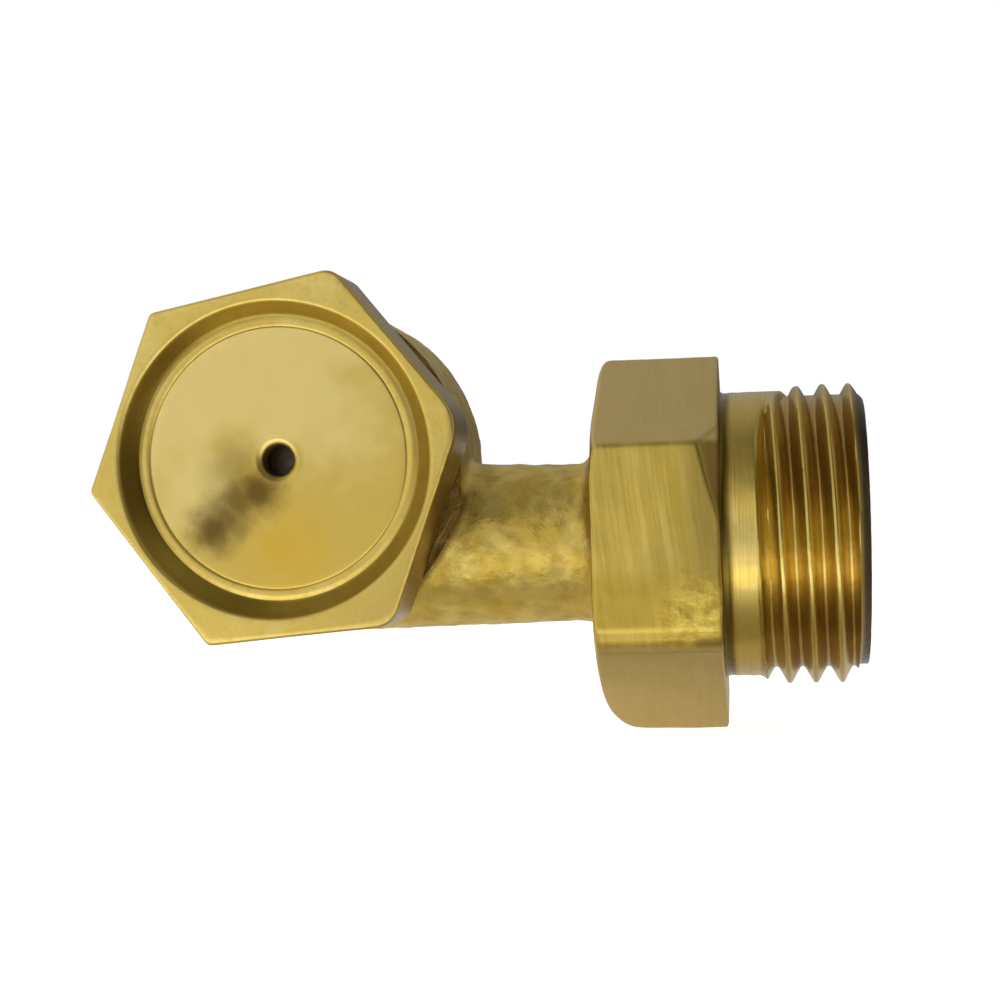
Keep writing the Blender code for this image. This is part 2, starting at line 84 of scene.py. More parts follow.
# The cap's corners from its axis, as (to the right, up, length of the rounding).
CAP_CORNERS = (
    (12.75, 2.3, 1.9),
    (4.4, 12.65, 0.9),
    (-8.25, 10.12, 0.3),
    (-12.72, -1.85, 0.3),
    (-4.8, -12.36, 0.35),
    (7.8, -11.3, 1.2),
)


# -------- mesh making

def on_cap_axis(points):
    """Local X to the right, Y up and Z out of the cap's face, to the model's frame in metres."""
    x, y, z = points[..., 0], points[..., 1], points[..., 2]
    return np.stack([CAP_X + x, -z, CAP_Z + y], -1) * MM


def on_inlet_axis(points):
    """Local Z out of the spigot, X down and Y away from the spray side, to the model's frame."""
    x, y, z = points[..., 0], points[..., 1], points[..., 2]
    return np.stack([z, y, -x], -1) * MM


def mesh_from(name, vertices, faces):
    """A mesh whose faces are turned outward, from vertices in metres."""
    mesh = bpy.data.meshes.new(name)
    mesh.from_pydata(vertices.tolist(), [], faces)
    mesh.update()
    mesh.calc_loop_triangles()
    corners = np.empty(len(mesh.loop_triangles) * 3, np.int32)
    mesh.loop_triangles.foreach_get("vertices", corners)
    a, b, c = vertices[corners.reshape(-1, 3)].transpose(1, 0, 2)
    if np.einsum("ij,ij->i", a, np.cross(b, c)).sum() < 0:
        mesh.flip_normals()
    return mesh


def skin_faces(index, looped):
    """The faces of a closed skin over rows of vertex numbers that each go once round. A looped
    skin joins its last row to its first, and any other is closed by a flat face at each end."""
    lower = index if looped else index[:-1]
    upper = np.roll(index, -1, 0) if looped else index[1:]
    quads = np.stack([lower, np.roll(lower, -1, 1), np.roll(upper, -1, 1), upper], -1)
    faces = quads.reshape(-1, 4).tolist()
    if not looped:
        faces += [index[0][::-1].tolist(), index[-1].tolist()]
    return faces


def grid_mesh(name, points, place, looped=False):
    """A closed skin over rows of points, given in the local frame that place takes."""
    rows, columns, _ = points.shape
    index = np.arange(rows * columns).reshape(rows, columns)
    return mesh_from(name, place(points).reshape(-1, 3), skin_faces(index, looped))


def angles(columns):
    return np.arange(columns) * 2 * pi / columns


def rings(stations, columns):
    """Rows of points from (radius, height) pairs. Either may be one number or one per column."""
    turn = angles(columns)
    rows = []
    for radius, height in stations:
        r = np.broadcast_to(radius, columns)
        z = np.broadcast_to(height, columns)
        rows.append(np.stack([r * np.cos(turn), r * np.sin(turn), z], -1))
    return np.array(rows)


def rounded(profile, radius, steps):
    """A closed (radius, height) outline with each corner turned into a small arc."""
    corners = [np.array(p, float) for p in profile]
    out = []
    for i, here in enumerate(corners):
        before = corners[i - 1] - here
        after = corners[(i + 1) % len(corners)] - here
        reach = min(radius, np.linalg.norm(before) * 0.45, np.linalg.norm(after) * 0.45)
        start = here + before / np.linalg.norm(before) * reach
        end = here + after / np.linalg.norm(after) * reach
        for step in range(steps + 1):
            t = step / steps
            out.append(tuple((1 - t) ** 2 * start + 2 * t * (1 - t) * here + t * t * end))
    return out


def thread_radius(height, turn, crest, pitch, crest_at, crispness=0.6):
    """The radius of a right-hand thread: straight flanks, with crest and root a little rounded."""
    phase = (height - crest_at) / pitch - turn / (2 * pi)
    away = 2 * np.abs(phase - np.round(phase))
    straight = np.clip((away - 0.13) / 0.74, 0, 1)
    wavy = 0.5 - 0.5 * np.cos(pi * away)
    depth = THREAD_DEPTH_PER_PITCH * pitch
    return crest - depth * (crispness * straight + (1 - crispness) * wavy)


def fractal(points, scale, seed):
    """Smooth noise from about -1 to 1 at points in metres. Scale is lumps per millimetre."""
    shift = Vector((seed * 7.3, seed * 3.1, seed * 5.7))
    return np.array([noise.fractal(Vector(p) * (scale / MM) + shift, 1.0, 2.0, 2) for p in points])


def roughen(mesh, layers):
    """Moves each vertex along its normal by layers of noise, given as (height, scale, seed)."""
    count = len(mesh.vertices)
    points = np.empty(count * 3, np.float32)
    normals = np.empty(count * 3, np.float32)
    mesh.vertices.foreach_get("co", points)
    mesh.vertex_normals.foreach_get("vector", normals)
    points, normals = points.reshape(-1, 3), normals.reshape(-1, 3)
    lift = np.zeros(count)
    for height, scale, seed in layers:
        lift += height * MM * fractal(points, scale, seed)
    points = points + normals * lift[:, None]
    mesh.vertices.foreach_set("co", points.astype(np.float32).ravel())
    mesh.update()


def evaluated(obj, name):
    """The object's mesh with its modifiers applied, as a new mesh. The object is removed."""
    graph = bpy.context.evaluated_depsgraph_get()
    mesh = bpy.data.meshes.new_from_object(obj.evaluated_get(graph))
    mesh.name = name
    bpy.data.objects.remove(obj)
    return mesh


def scratch_object(name, mesh):
    obj = bpy.data.objects.new(name, mesh)
    bpy.context.scene.collection.objects.link(obj)
    return obj


def cast_mesh(name, shells, voxel, smoothing, layers):
    """One cast skin over overlapping closed shells: joined, rounded at its edges and roughened."""
    vertices, faces, start = [], [], 0
    for shell in shells:
        vertices += [tuple(v.co) for v in shell.vertices]
        faces += [[start + i for i in p.vertices] for p in shell.polygons]
        start += len(shell.vertices)
    joined = bpy.data.meshes.new(name)
    joined.from_pydata(vertices, [], faces)
    obj = scratch_object(name, joined)
    remesh = obj.modifiers.new("skin", "REMESH")
    remesh.mode = "VOXEL"
    remesh.voxel_size = voxel * MM
    smooth = obj.modifiers.new("round", "SMOOTH")
    smooth.factor = 0.5
    smooth.iterations = smoothing
    mesh = evaluated(obj, name)
    roughen(mesh, layers)
    return mesh


def cut(mesh, cutters, name):
    """The mesh with the cutters' volumes taken away."""
    obj = scratch_object(name, mesh)
    others = []
    for cutter in cutters:
        other = scratch_object(cutter.name, cutter)
        boolean = obj.modifiers.new(cutter.name, "BOOLEAN")
        boolean.operation = "DIFFERENCE"
        boolean.solver = "MANIFOLD"
        boolean.object = other
        others.append(other)
    mesh = evaluated(obj, name)
    for other in others:
        bpy.data.objects.remove(other)
    return mesh


def add_piece(name, mesh, material, body, nodes, sharp_angle=35):
    mesh.materials.clear()
    mesh.materials.append(material)
    mesh.shade_smooth()
    mesh.set_sharp_from_angle(angle=radians(sharp_angle))
    obj = bpy.data.objects.new(name, mesh)
    bpy.context.scene.collection.objects.link(obj)
    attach(obj, body)
    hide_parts(*nodes)
    return obj


# -------- elbow body

# The arm's and the collar's own axes lie this far below the inlet's.
ARM_DROP = 0.2
COLLAR_DROP = 0.4
ARM_R_AT_COLLAR = 5.58
ARM_R_AT_BOSS = 5.9
BOSS_R = 11.55
BOSS_FRONT = 5.0
BOSS_BACK = -6.4
SPOT_FACE_R = 12.05
CHAMBER_R = 7.4
CHAMBER_BACK = -4.4
CHAMBER_SHELF = -0.7
COLLAR_LEFT = -8.52
COLLAR_RIGHT = 0.0
COLLAR_FLAT = 11.45
SPIGOT_NECK_R = 10.0
POCKET_R = 6.6
POCKET_BOTTOM = SPIGOT_END - 16.0
# Each fillet is a list of (distance from the wall, lift off the arm).
BOSS_FILLET = ((-0.4, 0.9), (0.0, 0.5), (0.25, 0.22), (0.6, 0.06), (1.2, 0.0))
COLLAR_FILLET = (
    (1.6, 0.0), (1.1, 0.12), (0.75, 0.5), (0.45, 1.1), (0.2, 1.8), (0.06, 2.3), (0.0, 2.6),
)
OIL_WAY_R = 2.3
OIL_WAY_DOWN = -0.85
OIL_WAY_BACK = 1.9


def oil_way_cutter():
    offset = np.array([OIL_WAY_DOWN, OIL_WAY_BACK, 0])
    rows = rings([(OIL_WAY_R, CAP_X), (OIL_WAY_R, -6.0)], 48) + offset
    return grid_mesh("oil_way", rows, on_inlet_axis)


def chamber_cutter():
    """The chamber in the boss, with the female thread that the cap screws into."""
    columns = 144
    turn = angles(columns)
    stations = [(0.6, CHAMBER_BACK), (7.0, CHAMBER_BACK), (CHAMBER_R, CHAMBER_BACK + 0.3)]
    stations += [(CHAMBER_R, CHAMBER_SHELF), (8.55, CHAMBER_SHELF), (8.55, 0.5)]
    thread = dict(CAP_THREAD, crest=CAP_THREAD["crest"] + 0.18)
    heights = np.linspace(0.55, BOSS_FRONT + 0.05, 52)
    stations += [(thread_radius(h, turn, **thread), h) for h in heights]
    stations += [(8.85, BOSS_FRONT + 0.1), (8.85, BOSS_FRONT + 4)]
    return grid_mesh("chamber", rings(stations, columns), on_cap_axis)


def spot_face_cutter():
    stations = [(SPOT_FACE_R, BOSS_FRONT), (SPOT_FACE_R, BOSS_FRONT + 4)]
    return grid_mesh("spot_face", rings(stations, 192), on_cap_axis)


def casting_mesh():
    """Boss and arm in one rough skin, faced and bored where the machine tools went."""
    boss = [(8.0, BOSS_BACK), (BOSS_R - 0.5, BOSS_BACK), (BOSS_R - 0.15, BOSS_BACK + 0.15)]
    boss += [(BOSS_R, BOSS_BACK + 0.5), (BOSS_R, BOSS_FRONT + 1.6)]
    columns = 96
    turn = angles(columns)
    upper = near_angle(turn, 180, 50)
    flare = 0.3 + 0.85 * near_angle(turn, 190, 60)
    boss_side = CAP_X + BOSS_R
    arm = [(3.0, CAP_X - 3.5), (5.2, CAP_X - 2.0)]
    arm += [(ARM_R_AT_BOSS, CAP_X), (ARM_R_AT_BOSS, CAP_X + 5)]
    for away, lift in BOSS_FILLET:
        arm.append((ARM_R_AT_BOSS - 0.15 + lift * upper, boss_side + away))
    for away, lift in COLLAR_FILLET:
        arm.append((ARM_R_AT_COLLAR + lift * flare, COLLAR_LEFT - away))
    arm += [(8.7, COLLAR_LEFT + 0.15), (8.7, COLLAR_LEFT + 0.5), (5.0, COLLAR_LEFT + 0.5)]
    shells = [
        grid_mesh("boss", rings(boss, 144), on_cap_axis),
        grid_mesh("arm", rings(arm, columns) + np.array([ARM_DROP, 0, 0]), on_inlet_axis),
    ]
    layers = [(0.045, 0.35, 1), (0.055, 0.8, 2), (0.015, 2.2, 3)]
    skin = cast_mesh("casting", shells, 0.21, 12, layers)
    return cut(skin, [spot_face_cutter(), chamber_cutter(), oil_way_cutter()], "casting")


def hexagon_radius(turn, flat, corner_round):
    """A hexagon's radius with a corner at angle 0 and each corner rounded off."""
    from_flat = (turn + pi / 6) % (pi / 3) - pi / 6
    from_flat = pi / 6 - np.abs(from_flat)
    sharp = flat / np.cos(from_flat)
    limit = flat / cos(pi / 6) - corner_round
    over = np.maximum(sharp - limit, 0)
    return np.minimum(sharp, limit + over * 0.35)


def near_angle(turn, middle, reach):
    """A bump from 0 to 1 about the middle angle. Middle and reach are in degrees."""
    away = (turn - radians(middle) + pi) % (2 * pi) - pi
    return np.exp(-((away / radians(reach)) ** 2))


def smooth_min(a, b, reach):
    """The smaller of a and b, with the crossing rounded over the given reach."""
    near = np.clip(0.5 + 0.5 * (b - a) / reach, 0, 1)
    return b + (a - b) * near - reach * near * (1 - near)


def collar_mesh():
    """The spanner hexagon. Its left end is rounded off, most at the bottom corner, and its upper
    front corner is turned back at the shoulder, in a curve that runs down the front flat."""
    columns = 360
    turn = angles(columns)
    hexagon = hexagon_radius(turn, COLLAR_FLAT, 0.12 + 0.45 * near_angle(turn, 300, 8))
    low = (0.5 + 0.5 * np.cos(turn)) ** 5
    high = (0.5 - 0.5 * np.cos(turn)) ** 3
    reach = 1.0 + 2.1 * low + 0.1 * high
    fall = reach + 0.9 * high
    outer = 13.4
    chamfer = 13.1 - 1.85 * near_angle(turn, 252, 26)

    def edge(distance, size=0.22):
        share = np.clip(1 - distance / size, 0, 1)
        return size * (1 - np.sqrt(1 - share**2))

    def radius(height):
        inward = height - COLLAR_LEFT
        share = np.clip(1 - inward / reach, 0, 1)
        envelope = outer - fall + fall * np.sqrt(1 - share**2)
        limit = chamfer + 1.15 * (COLLAR_RIGHT - height)
        r = smooth_min(hexagon, envelope, 0.3)
        r = smooth_min(r, limit, 0.2)
        return r - edge(inward, 0.4) - edge(COLLAR_RIGHT - height)

    left = np.full(columns, COLLAR_LEFT)
    first = radius(left)
    stations = [(8.0 + (first - 8.0) * t, left) for t in (0, 0.35, 0.7, 0.9)]
    for swing in np.linspace(0, pi / 2, 22):
        height = left + reach * (1 - np.cos(swing))
        stations.append((radius(height), height))
    start = left + reach
    for t in np.linspace(0, 1, 26)[1:]:
        height = start + (COLLAR_RIGHT - 1.6 - start) * t
        stations.append((radius(height), height))
    for back in np.linspace(1.6, 0.25, 14)[1:]:
        stations.append((radius(np.full(columns, COLLAR_RIGHT - back)), COLLAR_RIGHT - back))
    for swing in np.linspace(0, pi / 2, 7)[1:]:
        height = np.full(columns, COLLAR_RIGHT - 0.22 * (1 - sin(swing)))
        stations.append((radius(height), height))
    last = radius(np.full(columns, COLLAR_RIGHT))
    stations += [(last + (8.0 - last) * t, COLLAR_RIGHT) for t in (0.15, 0.5, 1.0)]
    rows = rings(stations, columns) + np.array([COLLAR_DROP, 0, 0])
    mesh = grid_mesh("collar", rows, on_inlet_axis, looped=True)
    roughen(mesh, [(0.05, 0.16, 4), (0.018, 0.7, 5), (0.006, 2.4, 6)])
    return mesh


def spigot_mesh():
    """Plain neck, thread and end chamfer outside, and the bored pocket inside. The thread runs out
    later on top than in front, and the end is a little out of square."""
    columns = 300
    turn = angles(columns)
    lower = near_angle(turn, 0, 45)
    neck = SPIGOT_NECK_R - 0.1 * np.cos(turn)
    run_out = 2.3 + 1.9 * near_angle(turn, 180, 28)
    rise = 0.35 - 0.2 * near_angle(turn, 180, 30)
    root = 9.2 + 0.52 * near_angle(turn, 180, 34)
    stations = [(3.2, COLLAR_LEFT + 0.15), (8.4, COLLAR_LEFT + 0.15), (8.4, -0.4), (neck, -0.4)]
    stations += [(neck + 0.12, 0.03), (neck + 0.02, 0.12), (neck - 0.04, 0.3), (neck - 0.04, 0.5)]
    stations += [(neck - 0.01, 0.65), (neck, 0.8), (neck - 0.02, 1.3), (neck + 0.01, 1.9)]
    heights = np.linspace(2.2, SPIGOT_END, ceil((SPIGOT_END - 2.2) / 0.075))
    for height in heights:
        into = np.maximum(height - run_out, 0)
        r = thread_radius(height, turn, **INLET_THREAD, crispness=0.4)
        r = -smooth_min(-r, -root, 0.12)
        r = smooth_min(r, neck + 0.12 + rise * into, 0.15)
        r = np.maximum(r, neck - 0.15 - 0.55 * into)
        r = neck + (r - neck) * np.clip(into / 0.5, 0, 1)
        back = SPIGOT_END - height
        limit = (1 - lower) * (9.15 + 1.35 * back) + lower * (9.2 + 3.0 * max(back - 0.6, 0))
        limit += 0.2 * near_angle(turn, 180, 60)
        stations.append((smooth_min(r, limit, 0.15), height))
    stations += [(9.0, SPIGOT_END), (7.2, SPIGOT_END), (6.95, SPIGOT_END - 0.08)]
    stations += [(POCKET_R, SPIGOT_END - 0.45), (POCKET_R, SPIGOT_END - 3)]
    stations += [(POCKET_R, POCKET_BOTTOM + 0.15), (POCKET_R - 0.2, POCKET_BOTTOM)]
    stations += [(4.0, POCKET_BOTTOM - 1.4), (0.5, POCKET_BOTTOM - 2.35)]
    rows = rings(stations, columns)
    out_of_square = 0.06 * (1 + rows[..., 0] / SPIGOT_NECK_R)
    rows[..., 2] -= out_of_square * np.clip((rows[..., 2] - 8.0) / 1.5, 0, 1)
    mesh = grid_mesh("spigot", rows, on_inlet_axis)
    roughen(mesh, [(0.012, 0.5, 7), (0.012, 2.0, 8)])
    return cut(mesh, [oil_way_cutter()], "spigot")


# -------- cap and what it holds

HEXAGON_BACK = 6.2
RECESS_R = 10.65
PLATE_POCKET_R = 9.24
ORIFICE_R = 1.05
WASHER_BORE_R = 8.6
DISTRIBUTOR_R = 5.5
PLUG_BORE_R = 5.65
# The circles of the lip and of the plate's rim are centred this far above the cap's axis.
LIP_RAISED = 0.15
# The rolled lip, from the recess's floor inward, as (radius, height over the plate's face).
LIP_PROFILE = (
    (9.8, 0.16), (9.68, 0.04), (9.6, 0.0), (9.5, 0.02), (9.34, 0.08), (9.14, 0.09), (8.99, 0.05),
    (8.91, 0.015), (8.86, -0.03), (8.84, -0.1), (8.84, -0.2),
)


def outline_radius(corners, columns):
    """The radius in each direction of a polygon whose corners (x, y, round) are rounded off."""
    outline = []
    count = len(corners)
    for i, (x, y, reach) in enumerate(corners):
        here = np.array([x, y])
        before = np.array(corners[i - 1][:2]) - here
        after = np.array(corners[(i + 1) % count][:2]) - here
        start = here + before / np.linalg.norm(before) * reach
        end = here + after / np.linalg.norm(after) * reach
        for t in np.linspace(0, 1, 9):
            outline.append((1 - t) ** 2 * start + 2 * t * (1 - t) * here + t * t * end)
    outline = np.array(outline)
    after = np.roll(outline, -1, 0)
    result = np.zeros(columns)
    for column, turn in enumerate(angles(columns)):
        ray = np.array([cos(turn), sin(turn)])
        along = outline @ ray
        side = outline @ np.array([-ray[1], ray[0]])
        next_along, next_side = np.roll(along, -1), np.roll(side, -1)
        crosses = (side * next_side <= 0) & (side != next_side)
        share = side[crosses] / (side[crosses] - next_side[crosses])
        result[column] = (along[crosses] + share * (next_along[crosses] - along[crosses])).max()
    return result


def cap_mesh():
    """The hexagon head with its recess and rolled lip, and the threaded hollow plug behind it."""
    columns = 480
    turn = angles(columns)
    edge = outline_radius(CAP_CORNERS, columns)
    back = HEXAGON_BACK
    seat = PLATE_BACK - 0.15
    floor = PLATE_FRONT
    stations = []
    for height in np.linspace(CAP_END, BOSS_FRONT, 66):
        r = thread_radius(height, turn, **CAP_THREAD)
        limit = np.full(columns, 7.45 + (height - CAP_END))
        stations.append((smooth_min(r, limit, 0.1), height))
    stations += [(7.3, 5.08), (7.2, 5.2), (7.2, back - 0.2), (7.35, back)]
    stations += [(edge * 0.72, back), (edge - 0.5, back), (edge - 0.16, back)]
    stations += [(edge - 0.04, back + 0.05), (edge, back + 0.16)]
    stations += [(edge, height) for height in np.linspace(back + 1, CAP_FACE - 1, 6)]
    stations += [(edge, CAP_FACE - 0.26), (edge - 0.03, CAP_FACE - 0.14)]
    stations += [(edge - 0.1, CAP_FACE - 0.05), (edge - 0.22, CAP_FACE)]
    raised = LIP_RAISED * np.sin(turn)
    face_in = RECESS_R + 0.16
    for t in (0.2, 0.45, 0.7, 0.88):
        stations.append(((edge - 0.22) * (1 - t) + face_in * t, CAP_FACE))
    stations += [(face_in, CAP_FACE - 0.01), (RECESS_R + 0.05, CAP_FACE - 0.05)]
    stations += [(RECESS_R - 0.03, CAP_FACE - 0.13)]
    stations += [(10.4, CAP_FACE - 0.45), (10.1 + raised / 2, CAP_FACE - 0.8)]
    stations += [(r + raised, floor + lift) for r, lift in LIP_PROFILE]
    stations += [(9.1, floor - 0.42), (PLATE_POCKET_R, floor - 0.6), (PLATE_POCKET_R, seat)]
    stations += [(PLUG_BORE_R, seat), (PLUG_BORE_R, seat - 1.2), (PLUG_BORE_R, CAP_END + 0.3)]
    stations += [(PLUG_BORE_R + 0.25, CAP_END)]
    mesh = grid_mesh("cap_shell", rings(stations, columns), on_cap_axis, looped=True)
    roughen(mesh, [(0.03, 0.14, 9), (0.006, 0.9, 10)])
    return mesh


def plate_mesh():
    """The disc with the spray hole, its countersink and the fine steps the lathe left."""
    columns = 256
    front, back = PLATE_FRONT, PLATE_BACK
    rim = PLATE_R - 0.03
    raised = LIP_RAISED * np.sin(angles(columns))
    stations = [(ORIFICE_R, back), (rim - 0.1, back), (rim, back + 0.1), (rim, front - 0.6)]
    stations += [(rim - 0.1, front - 0.45)]
    stations += [(8.86 + raised, front - 0.28), (8.86 + raised, front - 0.05)]
    stations += [(8.81 + raised, front - 0.015), (8.72 + raised, front)]
    stations += [(r, front) for r in np.linspace(8.3, 1.9, 12)]
    stations += [(1.6, front), (1.52, front + 0.02), (1.44, front + 0.01), (1.34, front - 0.05)]
    stations += [(1.2, front - 0.14), (1.09, front - 0.26), (ORIFICE_R, front - 0.5)]
    return grid_mesh("plate", rings(stations, columns), on_cap_axis, looped=True)


def washer_mesh():
    high = -WASHER_BOX[0].y / MM
    low = -WASHER_BOX[1].y / MM
    outline = [(WASHER_R, high), (WASHER_R, low), (WASHER_BORE_R, low), (WASHER_BORE_R, high)]
    rows = rings(rounded(outline, 0.42, 5), 160)
    mesh = grid_mesh("washer", rows, on_cap_axis, looped=True)
    roughen(mesh, [(0.02, 0.5, 11)])
    return mesh


def box_cutter(low, high, turn):
    """A box between two corners, turned about the cap's axis."""
    corners = [(low[0], low[1]), (high[0], low[1]), (high[0], high[1]), (low[0], high[1])]
    spin = np.array([[cos(turn), sin(turn)], [-sin(turn), cos(turn)]])
    base = np.array(corners) @ spin
    rows = [np.column_stack([base, np.full(4, z)]) for z in (low[2], high[2])]
    return grid_mesh("slot", np.array(rows), on_cap_axis)


def distributor_mesh():
    """The swirl disc, with four slots that meet its pocket at a tangent and four feed notches."""
    front = -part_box("distributor")[0].y / MM
    back = -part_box("distributor")[1].y / MM
    stations = [(0.4, front - 1.0), (2.05, front - 1.0), (2.2, front - 0.85), (2.2, front - 0.08)]
    stations += [(2.28, front), (5.35, front), (5.46, front - 0.04)]
    stations += [(DISTRIBUTOR_R, front - 0.15), (DISTRIBUTOR_R, back + 0.15)]
    stations += [(5.46, back + 0.04), (5.35, back), (0.4, back)]
    disc = grid_mesh("distributor_disc", rings(stations, 160), on_cap_axis)
    cutters = []
    for quarter in range(4):
        turn = quarter * pi / 2
        cutters.append(box_cutter((0.2, 1.3, front - 0.8), (7.5, 2.2, front + 2), turn))
        cutters.append(box_cutter((4.4, 0.95, back - 2), (7.4, 2.55, front + 1.5), turn))
    return cut(disc, cutters, "distributor_disc")


def lock_screw_mesh():
    """The hollow screw behind the distributor, with its hexagon socket and sunk front."""
    columns = 240
    turn = angles(columns)
    front = -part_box("lock_screw")[0].y / MM
    back = -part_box("lock_screw")[1].y / MM
    socket = hexagon_radius(turn, 2.5, 0.08)
    stations = [(socket + 0.12, back), (4.6, back)]
    for height in np.linspace(back, front, 49):
        r = thread_radius(height, turn, crest=5.5, pitch=1.0, crest_at=back)
        ends = min(height - back, front - height)
        stations.append((smooth_min(r, np.full(columns, 4.95 + ends), 0.08), height))
    stations += [(4.8, front), (4.7, front - 0.1), (4.7, front - 0.75), (4.6, front - 0.8)]
    stations += [(socket + 0.12, front - 0.8), (socket, front - 0.92), (socket, back + 0.12)]
    return grid_mesh("lock_screw_body", rings(stations, columns), on_cap_axis, looped=True)


# -------- inlet strainer

STRAINER_RING_R = 6.45
CUP_R = 5.1
GAUZE_R = 4.25
WIRE_SWING = 0.07
WIRE_R = 0.058


def strainer_collar_mesh():
    """The ring pushed into the spigot's bore, with a shallow groove round its middle."""
    front, back = STRAINER_FRONT, STRAINER_BACK
    outer = STRAINER_RING_R
    outline = [(4.6, front), (6.15, front), (outer, front - 0.3), (outer, front - 1.1)]
    outline += [(6.27, front - 1.25), (6.27, front - 1.7), (outer, front - 1.85)]
    outline += [(outer, back + 0.3)]
    outline += [(6.15, back), (4.55, back), (4.55, back + 1.5), (4.0, back + 1.5)]
    outline += [(4.0, front - 0.6)]
    rows = rings(rounded(outline, 0.09, 3), 160)
    return grid_mesh("strainer_ring", rows, on_inlet_axis, looped=True)


def strainer_cup_mesh():
    """The cup over the thimble's inner end, crimped on to the gauze at its rim."""
    columns = 192
    turn = angles(columns)
    low, high = [corner.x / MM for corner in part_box("strainer_end_cap")]
    floor = low + 1.0
    pinch = 0.1 * (0.5 + 0.5 * np.cos(12 * turn)) ** 3
    stations = [(0.3, floor), (4.35, floor), (4.5, floor + 0.06), (4.55, floor + 0.2)]
    stations += [(4.55, high - 0.12), (4.6, high - 0.03), (4.7, high), (4.95, high)]
    stations += [(5.06, high - 0.05), (CUP_R, high - 0.15), (CUP_R - 0.5 * pinch, high - 0.35)]
    stations += [(CUP_R - pinch, high - 0.6), (CUP_R - 0.5 * pinch, high - 0.85)]
    stations += [(CUP_R, high - 1.05)]
    stations += [(CUP_R, low + 0.45), (5.03, low + 0.2), (4.85, low + 0.05), (4.6, low), (0.3, low)]
    return grid_mesh("strainer_cup", rings(stations, columns), on_inlet_axis)


def gauze_mesh():
    """Woven wire: straight wires along the thimble and rings round it, over and under in turn."""
    low, high = [corner.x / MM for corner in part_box("strainer_gauze")]
    count, rows, sides = 60, 25, 6
    pitch = (high - low - 2 * WIRE_R) / (rows - 1)
    start = low + WIRE_R
    vertices, faces = [], []

    def add_wire(radius, turn, height, closed):
        """One round wire along points given by radius, angle and height."""
        centre = np.stack([radius * np.cos(turn), radius * np.sin(turn), height], -1)
        if closed:
            along = np.roll(centre, -1, 0) - np.roll(centre, 1, 0)
        else:
            along = np.gradient(centre, axis=0)
        along /= np.linalg.norm(along, axis=1)[:, None]
        outward = np.stack([np.cos(turn), np.sin(turn), np.zeros(len(turn))], -1)
        outward -= along * (outward * along).sum(1)[:, None]
        outward /= np.linalg.norm(outward, axis=1)[:, None]
        across = np.cross(along, outward)
        base = sum(len(v) for v in vertices)
        spin = angles(sides)[None, :, None]
        round_wire = outward[:, None] * np.cos(spin) + across[:, None] * np.sin(spin)
        points = centre[:, None] + WIRE_R * round_wire
        vertices.append(points.reshape(-1, 3))
        index = base + np.arange(len(centre) * sides).reshape(-1, sides)
        faces.extend(skin_faces(index, closed))

    heights = np.linspace(start, high - WIRE_R, (rows - 1) * 4 + 1)
    for i in range(count):
        wave = np.cos(pi * ((heights - start) / pitch + i))
        turn = np.full(len(heights), 2 * pi * i / count)
        add_wire(GAUZE_R + WIRE_SWING * wave, turn, heights, False)
    turns = angles(count * 4)
    for row in range(rows):
        wave = np.cos(pi * (turns * count / (2 * pi) + row))
        add_wire(GAUZE_R - WIRE_SWING * wave, turns, np.full(len(turns), start + pitch * row), True)
    return mesh_from("gauze", on_inlet_axis(np.concatenate(vertices)), faces)


# -------- materials

def mapped(tree, value, low, high, out_low=0.0, out_high=1.0, kind="SMOOTHSTEP"):
    """A node that maps value from low and high to the two outputs, and its result."""
    node = tree.nodes.new("ShaderNodeMapRange")
    node.interpolation_type = kind
    tree.links.new(value, node.inputs["Value"])
    names = ("From Min", "From Max", "To Min", "To Max")
    for name, number in zip(names, (low, high, out_low, out_high)):
        node.inputs[name].default_value = number
    return node.outputs["Result"]


